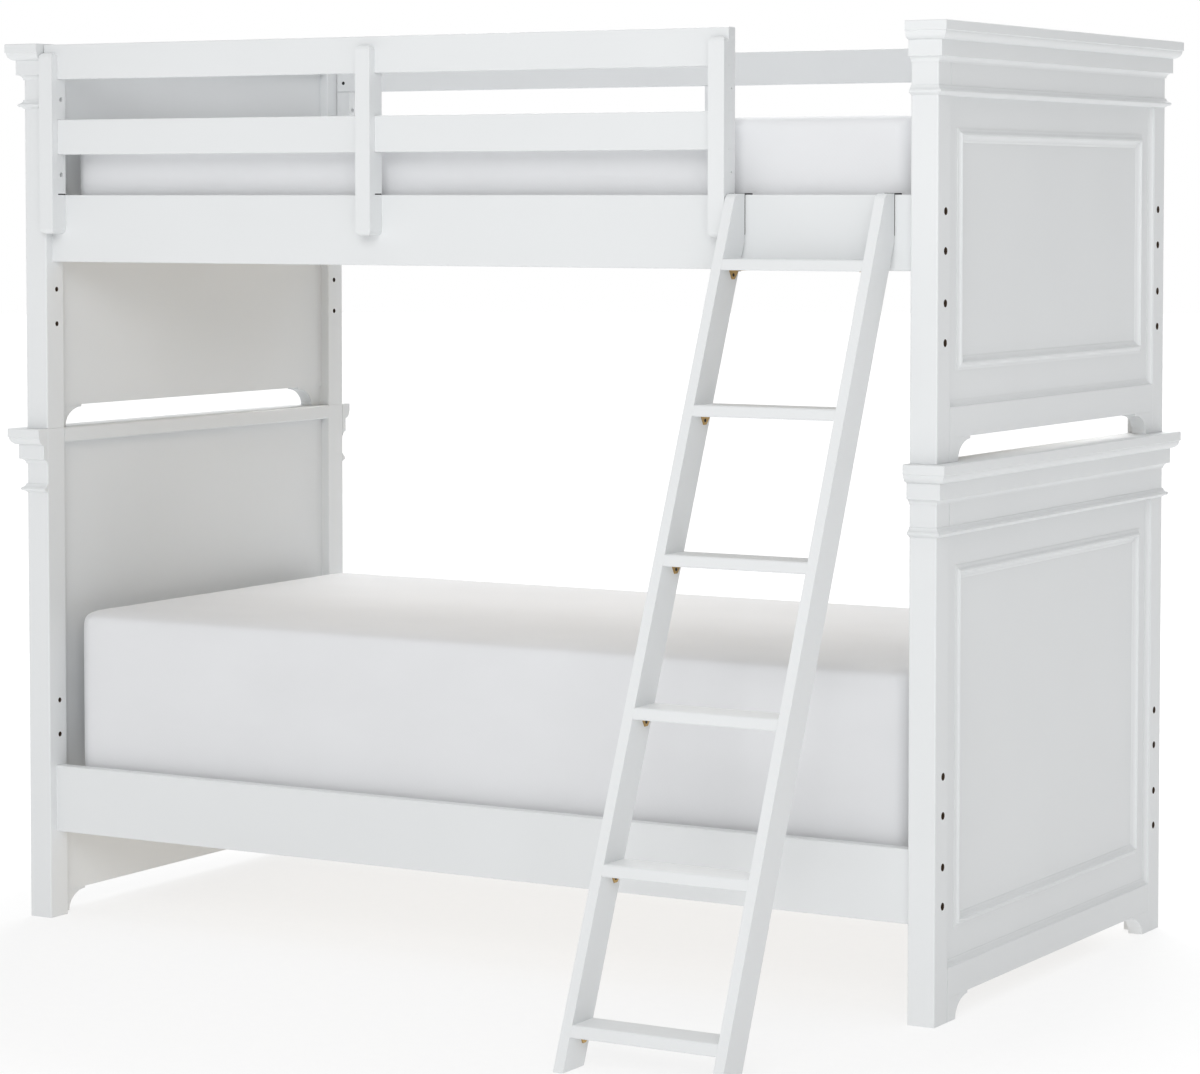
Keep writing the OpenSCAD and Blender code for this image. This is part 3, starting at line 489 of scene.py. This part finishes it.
def turned_piece(name, rings, segments=24):
    """A piece turned about Z, drawn up from a disc: each ring gives the next radius and height."""
    leave_edit()
    bpy.ops.object.select_all(action="DESELECT")
    radius, height = rings[0]
    bpy.ops.mesh.primitive_circle_add(
        vertices=segments, radius=radius, fill_type="NGON", location=(0, 0, height))
    piece = bpy.context.object
    piece.name = piece.data.name = name
    bpy.ops.object.transform_apply(location=True, rotation=True, scale=True)
    bpy.ops.object.mode_set(mode="EDIT")
    bpy.ops.mesh.select_all(action="SELECT")
    for next_radius, next_height in rings[1:]:
        rise = next_height - height
        bpy.ops.mesh.extrude_region_move(TRANSFORM_OT_translate={"value": (0, 0, rise)})
        size = next_radius / radius
        bpy.ops.transform.resize(value=(size, size, 1), center_override=(0, 0, next_height))
        radius, height = next_radius, next_height
    bpy.ops.mesh.select_all(action="SELECT")
    bpy.ops.mesh.normals_make_consistent(inside=False)
    leave_edit()
    return piece


def cut_away(piece, cutter):
    """Cuts one piece out of another and deletes the cutter."""
    apply_modifier(piece, "BOOLEAN", operation="DIFFERENCE", solver="EXACT", object=cutter)
    bpy.data.objects.remove(cutter)


def cut_cross(piece, width, depth):
    """Cuts a cross recess into the head's face at z = 0."""
    arm, clear = width * 0.22, 0.001
    for x, y in ((width, arm), (arm, width)):
        cut_away(piece, add_block("cross", (-x / 2, -y / 2, -clear), (x / 2, y / 2, depth)))


def set_copies(model, name, places):
    """Copies a model to each place and turns its +Z to each direction, as one piece. Deletes the model."""
    copies = []
    for place, direction in places:
        twin = model.copy()
        twin.data = model.data.copy()
        turn = Vector(direction).to_track_quat("Z", "Y").to_matrix().to_4x4()
        twin.data.transform(Matrix.Translation(place) @ turn)
        bpy.context.collection.objects.link(twin)
        copies.append(twin)
    bpy.data.objects.remove(model)
    return join(copies, name)


def join(parts, name):
    """Joins parts into one piece."""
    only(parts[0])
    for part in parts[1:]:
        part.select_set(True)
    bpy.ops.object.join()
    piece = bpy.context.object
    piece.name = piece.data.name = name
    return piece


def finish_metal(piece, body, node, material):
    """Gives a fastener piece its material and its place in the part."""
    only(piece)
    bpy.ops.object.shade_smooth_by_angle(angle=math.radians(35))
    piece.data.materials.clear()
    piece.data.materials.append(material)
    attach(piece, body)
    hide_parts(node)


def wood_screw(name, length):
    """Countersunk wood screw with a cross recess, a thread drawn as steps and a point. The face of its
    head is at z = 0."""
    head_r, head_l, edge, shank_r, point_l = 0.004, 0.0024, 0.0003, 0.002, 0.005
    turns, thread_z = 8, length * 0.35
    rings = [(head_r - edge, 0.0), (head_r, edge), (shank_r, head_l), (shank_r, thread_z)]
    pitch = (length - thread_z - point_l) / turns
    for turn in range(turns):
        start = thread_z + turn * pitch
        rings += [(shank_r * 0.72, start + 0.3 * pitch), (shank_r, start + 0.9 * pitch)]
    piece = turned_piece(name, rings + [(0.0002, length)], segments=16)
    cut_cross(piece, 0.0042, 0.0012)
    return piece


def round_screw(name):
    """Round-head screw of a bracket. The underside of its head is at z = 0."""
    head_l = 0.0012
    piece = turned_piece(name, [(0.0016, 0.0), (0.0026, 0.0002), (0.00325, 0.0008), (0.00325, head_l),
                                (0.0015, head_l), (0.0015, 0.0107), (0.0003, 0.0132)], segments=20)
    cut_cross(piece, 0.0034, 0.0008)
    piece.data.transform(Matrix.Translation((0, 0, -head_l)))
    return piece


def rail_bolt():
    """Socket-head bolt. The face of its head is at z = 0."""
    head_r, head_l, shank_r, edge = 0.0065, 0.008, 0.004, 0.001
    length = head_l + POST_X - WIDE_BORE_DEPTH + 0.060
    bolt = turned_piece("bolt", [(head_r - 0.0007, 0.0), (head_r, 0.0007), (head_r, head_l - 0.0003),
                                 (head_r - 0.0003, head_l), (shank_r, head_l), (shank_r, length - edge),
                                 (shank_r - 0.0008, length)])
    bpy.ops.object.select_all(action="DESELECT")
    bpy.ops.mesh.primitive_cylinder_add(vertices=6, radius=0.0034, depth=0.009, location=(0, 0, 0.0005))
    cut_away(bolt, bpy.context.object)
    return bolt, head_l


def barrel_nut():
    """Slotted barrel nut, centred on the bolt, with its length along Z."""
    nut_r, half_l, edge = 0.006, 0.009, 0.0005
    nut = turned_piece("nut", [(nut_r - edge, -half_l), (nut_r, edge - half_l), (nut_r, half_l - edge),
                               (nut_r - edge, half_l)])
    for end in (-1, 1):
        low, high = sorted((end * 0.008, end * 0.012))
        cut_away(nut, add_block("slot", (-0.008, -0.0008, low), (0.008, 0.0008, high)))
    return nut


class BUNK_OT_rail_bolts(bpy.types.Operator):
    """Model the socket-head bolts and barrel nuts of the side rails"""
    bl_idname = "bunk.rail_bolts"
    bl_label = "Rail bolts"

    def execute(self, context):
        blackened = shade(tuple(context.scene.bunk_finish.black_steel), 2.5)
        dark = plated_steel("black_oxide_bolts", blackened, 0.45)
        nut_in = 0.045
        for level, middle in BOLTED_Z.items():
            bolt, head_l = rail_bolt()
            nut = barrel_nut()
            head_x = POST_IN_X + POST_X - WIDE_BORE_DEPTH + head_l
            bolt_places, nut_places = [], []
            for side in (-1, 1):
                for face in (-1, 1):
                    for step in (-0.5, 0.5):
                        y, z = SHIFT_Y + face * RAIL_MIDDLE_Y, middle + step * PAIR_PITCH
                        bolt_places.append(((side * head_x, y, z), (-side, 0, 0)))
                        nut_places.append(((side * (POST_IN_X - nut_in), y, z), (0, 1, 0)))
            bolts = set_copies(bolt, "bolts", bolt_places)
            nuts = set_copies(nut, "nuts", nut_places)
            piece = join([bolts, nuts], level + "_rail_bolts")
            finish_metal(piece, level + "_bed", level + "_rail_fittings", dark)
        return {"FINISHED"}


class BUNK_OT_guard_screws(bpy.types.Operator):
    """Model the screws and steel plates of the guard rails"""
    bl_idname = "bunk.guard_screws"
    bl_label = "Guard screws"

    def execute(self, context):
        black = powder_coat("black_coated_guard_screws", tuple(context.scene.bunk_finish.black_steel))
        board_edge, rail_drops = 0.020, (0.020, 0.055)
        plate_inset, plate_t = 0.001, 0.0025
        board_places, rail_places, parts = [], [], []
        for face, stations in ((-1, FRONT_SUPPORT_X), (1, BACK_SUPPORT_X)):
            inner_y, outer_y = SHIFT_Y + face * RAIL_IN_Y, SHIFT_Y + face * RAIL_OUT_Y
            near, far = sorted((outer_y, outer_y + face * BOARD_T))
            for x in stations:
                middle = x + SUPPORT_W / 2
                board_places += [((middle, outer_y, z + rise), (0, face, 0))
                                 for z in BOARD_Z for rise in (board_edge, BOARD_H - board_edge)]
                rail_places += [((middle, inner_y, RAIL_TOP_Z - drop), (0, face, 0)) for drop in rail_drops]
                plate = add_block("plate", (x + plate_inset, near, RAIL_TOP_Z),
                                  (x + SUPPORT_W - plate_inset, far, RAIL_TOP_Z + plate_t))
                apply_modifier(plate, "BEVEL", width=0.0004, segments=2, limit_method="ANGLE")
                parts.append(plate)
        parts.append(set_copies(wood_screw("board_screw", 0.035), "board_screws", board_places))
        parts.append(set_copies(wood_screw("rail_screw", 0.045), "rail_screws", rail_places))
        finish_metal(join(parts, "guard_screws"), "upper_bed", "guard_fixings", black)
        return {"FINISHED"}


class BUNK_OT_ladder_screws(bpy.types.Operator):
    """Model the screws of the ladder's hooks and tread brackets"""
    bl_idname = "bunk.ladder_screws"
    bl_label = "Ladder screws"

    def execute(self, context):
        black = powder_coat("black_coated_ladder_screws", tuple(context.scene.bunk_finish.black_steel))
        hook_drops = (0.022, 0.058)
        hook_top = RAIL_TOP_Z + LIFT_GAP + HOOK_T
        hook_places = [((x + STILE_T / 2, SHIFT_Y - RAIL_OUT_Y - LIFT_GAP, hook_top - drop), (0, -1, 0))
                       for x in STILE_X for drop in hook_drops]
        # One screw up into the tread and one sideways into the stile
        tread_screw_in, stile_screw_back, stile_screw_drop = 0.012, 0.003, 0.00935
        bracket_places = []
        for number in range(TREADS):
            z = TREAD_FIRST + number * TREAD_PITCH
            y = SHIFT_Y - (FOOT_Y - LADDER_LEAN * z - STILE_DEPTH) - BRACKET_BACK
            for x, inward in ((STILE_X[0] + STILE_T, 1), (STILE_X[1], -1)):
                up = (x + inward * tread_screw_in, y, z - BRACKET_T)
                across = (x + inward * BRACKET_T, y - stile_screw_back, z - stile_screw_drop)
                bracket_places += [(up, (0, 0, 1)), (across, (-inward, 0, 0))]
        hooks = set_copies(wood_screw("hook_screw", 0.022), "hook_screws", hook_places)
        brackets = set_copies(round_screw("bracket_screw"), "bracket_screws", bracket_places)
        piece = join([hooks, brackets], "ladder_screw_set")
        finish_metal(piece, "ladder", "ladder_screws", black)
        return {"FINISHED"}


# ---- Finishes of the CAD nodes ----

class BUNK_OT_paintwork(bpy.types.Operator):
    """Lacquer the bed ends, rails, guards and ladder, with the grain along each board"""
    bl_idname = "bunk.paintwork"
    bl_label = "Paintwork"

    def execute(self, context):
        paint = tuple(context.scene.bunk_finish.paint)
        along_x = lacquered_timber("satin_lacquer_on_birch_rails", paint, grain_axis=0)
        along_y = lacquered_timber("satin_lacquer_on_birch_cross_rails", paint, grain_axis=1)
        upright = lacquered_timber("satin_lacquer_on_birch_posts", paint, grain_axis=2)
        board = lacquered_timber("satin_lacquer_on_fibreboard", paint)
        dress(names_with("front_rail", "back_rail", "_guard_boards"), along_x)
        dress([f"ladder_tread_{number}" for number in range(1, TREADS + 1)], along_x)
        dress(names_with("_top_rail", "_bottom_rail", "_cornice"), along_y)
        dress(names_with("_stiles", "_guard_supports"), upright)
        dress(names_with("_post"), lacquered_timber("satin_lacquer_on_bored_posts", paint, 2, bored=True))
        dress(names_with("_panels", "_mouldings"), board)
        return {"FINISHED"}


class BUNK_OT_slat_timber(bpy.types.Operator):
    """Give the slats and their cleats planed pine"""
    bl_idname = "bunk.slat_timber"
    bl_label = "Slats and cleats"

    def execute(self, context):
        finish = context.scene.bunk_finish
        tones = (tuple(finish.timber), tuple(finish.timber_grain))
        dress(names_with("_slats"), planed_pine("planed_pine_slats", *tones, grain_axis=1))
        dress(names_with("_cleats"), planed_pine("planed_pine_cleats", *tones, grain_axis=0))
        return {"FINISHED"}


class BUNK_OT_hardware(bpy.types.Operator):
    """Give the pins, bolts, hooks, brackets and screws their metals"""
    bl_idname = "bunk.hardware"
    bl_label = "Hardware"

    def execute(self, context):
        finish = context.scene.bunk_finish
        zinc = plated_steel("zinc_plated_steel", tuple(finish.zinc), 0.38)
        brass = plated_steel("brass_plated_steel", tuple(finish.brass), 0.3)
        black = powder_coat("black_powder_coated_steel", tuple(finish.black_steel))
        dress(["stacking_pins"], zinc)
        dress(names_with("_rail_fittings", "guard_fixings", "ladder_hooks", "ladder_screws"), black)
        dress(["tread_brackets"], brass)
        return {"FINISHED"}


# ---- Stage ----

def lit_background(name, painted_shadow_glow):
    """White opal acrylic, lit from below as a photographer's shadow-free floor: it glows pure white all round,
    and a little less under and around the bed as a painted shadow, where it also takes a faint real shadow."""
    material, tree, shader = new_material(name, Roughness=1.0, Specular_IOR_Level=0.0,
                                          Emission_Color=(1, 1, 1, 1))
    place = add_node(tree, "ShaderNodeTexCoord")
    reach = add_node(tree, "ShaderNodeVectorMath", {"operation": "LENGTH"}, i0=place.outputs["Object"])
    # Distances from the bed's middle, in metres. The glow is lower near the bed: a painted shadow round it
    light = add_node(tree, "ShaderNodeMapRange", {"From Min": 1.2, "From Max": 3.0, "To Min": painted_shadow_glow,
                                                  "To Max": 0.95}, Value=reach.outputs["Value"])
    tree.links.new(light.outputs["Result"], shader.inputs["Emission Strength"])
    # Matt tooth of the acrylic, drawn at 25 mm so that it shows
    tooth = add_node(tree, "ShaderNodeTexNoise", {"Scale": 1.0, "Detail": 2.0}, Vector=laid_out(tree, 25))
    tone = add_node(tree, "ShaderNodeMix", {"data_type": "RGBA", 6: rgba(linear("#848484")),
                                            7: rgba(linear("#888888"))}, i0=tooth.outputs[0])
    tree.links.new(tone.outputs[2], shader.inputs["Base Color"])
    return material


def add_softbox(name, place, width, power):
    """A softbox 3 m high, aimed at the middle of the bed."""
    leave_edit()
    bpy.ops.object.select_all(action="DESELECT")
    bpy.ops.object.light_add(type="AREA", location=place)
    lamp = bpy.context.object
    lamp.name = lamp.data.name = name
    lamp.data.shape = "RECTANGLE"
    lamp.data.size, lamp.data.size_y = width, 3
    lamp.data.energy = power
    lamp.visible_camera = False
    lamp.rotation_euler = (Vector((0, 0, 0.8)) - Vector(place)).to_track_quat("-Z", "Y").to_euler()


def light_room(overhead):
    """Soft white surroundings, brightest overhead and dark below, that themselves look pure white."""
    world = bpy.data.worlds.new("white_room")
    bpy.context.scene.world = world
    world.use_nodes = True
    tree = world.node_tree
    toward = add_node(tree, "ShaderNodeTexCoord")
    split = add_node(tree, "ShaderNodeSeparateXYZ", Vector=toward.outputs["Generated"])
    strength = add_node(tree, "ShaderNodeMath", {"operation": "MULTIPLY", 1: overhead, "use_clamp": True},
                        i0=split.outputs["Z"])
    lit = tree.nodes["Background"]
    lit.inputs["Color"].default_value = (1, 1, 1, 1)
    tree.links.new(strength.outputs[0], lit.inputs["Strength"])
    seen = add_node(tree, "ShaderNodeBackground", {"Strength": 1.0, "Color": (1, 1, 1, 1)})
    path = add_node(tree, "ShaderNodeLightPath")
    mix = add_node(tree, "ShaderNodeMixShader")
    tree.links.new(path.outputs["Is Camera Ray"], mix.inputs[0])
    tree.links.new(lit.outputs[0], mix.inputs[1])
    tree.links.new(seen.outputs[0], mix.inputs[2])
    tree.links.new(mix.outputs[0], tree.nodes["World Output"].inputs["Surface"])


class BUNK_OT_stage(bpy.types.Operator):
    """Lay the floor, hang the lights and set up the camera"""
    bl_idname = "bunk.stage"
    bl_label = "Stage"

    def execute(self, context):
        settings = context.scene.bunk_stage
        context.scene.view_settings.view_transform = "Standard"
        leave_edit()
        bpy.ops.object.select_all(action="DESELECT")
        bpy.ops.mesh.primitive_circle_add(vertices=96, radius=40, fill_type="NGON", location=(0, 0, 0))
        floor = context.object
        floor.name = floor.data.name = "floor"
        floor.data.materials.append(lit_background("lit_white_acrylic", settings.floor_glow))
        light_room(settings.overhead)
        add_softbox("key_softbox", (2.2, -6.5, 4.2), 3, settings.key_light)
        add_softbox("side_softbox", (4.4, -6.0, 2.6), 3, settings.side_light)
        add_softbox("back_softbox", (-1.5, 4.4, 4.2), 4, settings.back_light)
        bpy.ops.object.camera_add(location=settings.camera_place)
        camera = context.object
        camera.rotation_euler = (math.pi / 2 - settings.camera_tilt, 0, settings.camera_turn)
        camera.data.lens = settings.lens
        camera.data.shift_y = settings.shift
        camera.data.clip_end = 200
        context.scene.camera = camera
        return {"FINISHED"}


class BUNK_PT_looks(bpy.types.Panel):
    """Lists the steps that finish the bunk bed"""
    bl_label = "Bunk Bed"
    bl_idname = "BUNK_PT_looks"
    bl_space_type = "VIEW_3D"
    bl_region_type = "UI"
    bl_category = "Bunk Bed"

    def draw(self, context):
        scene = context.scene
        for group, names in (
                (scene.bunk_finish, ("paint", "timber", "timber_grain", "zinc", "black_steel", "brass",
                                     "cover")),
                (scene.bunk_mattress, ("edge_radius", "corner_radius", "swell", "voxel")),
                (scene.bunk_stage, ("camera_place", "camera_turn", "camera_tilt", "lens", "shift", "overhead",
                                    "key_light", "side_light", "back_light", "floor_glow"))):
            box = self.layout.box()
            for name in names:
                box.prop(group, name)
        for step in STEPS:
            self.layout.operator(step.bl_idname)


STEPS = (BUNK_OT_stage, BUNK_OT_paintwork, BUNK_OT_slat_timber, BUNK_OT_hardware, BUNK_OT_rail_bolts,
         BUNK_OT_guard_screws, BUNK_OT_ladder_screws, BUNK_OT_mattresses)
GROUPS = {"bunk_finish": BunkFinishSettings, "bunk_mattress": BunkMattressSettings,
          "bunk_stage": BunkStageSettings}
CLASSES = (*GROUPS.values(), *STEPS, BUNK_PT_looks)


def register():
    for part in CLASSES:
        bpy.utils.register_class(part)
    for name, group in GROUPS.items():
        setattr(bpy.types.Scene, name, bpy.props.PointerProperty(type=group))


def unregister():
    for name in GROUPS:
        delattr(bpy.types.Scene, name)
    for part in reversed(CLASSES):
        bpy.utils.unregister_class(part)


def main():
    register()
    bpy.ops.bunk.stage()
    bpy.ops.bunk.paintwork()
    bpy.ops.bunk.slat_timber()
    bpy.ops.bunk.hardware()
    bpy.ops.bunk.rail_bolts()
    bpy.ops.bunk.guard_screws()
    bpy.ops.bunk.ladder_screws()
    bpy.ops.bunk.mattresses()
    leave_edit()


if __name__ == "__main__":
    main()
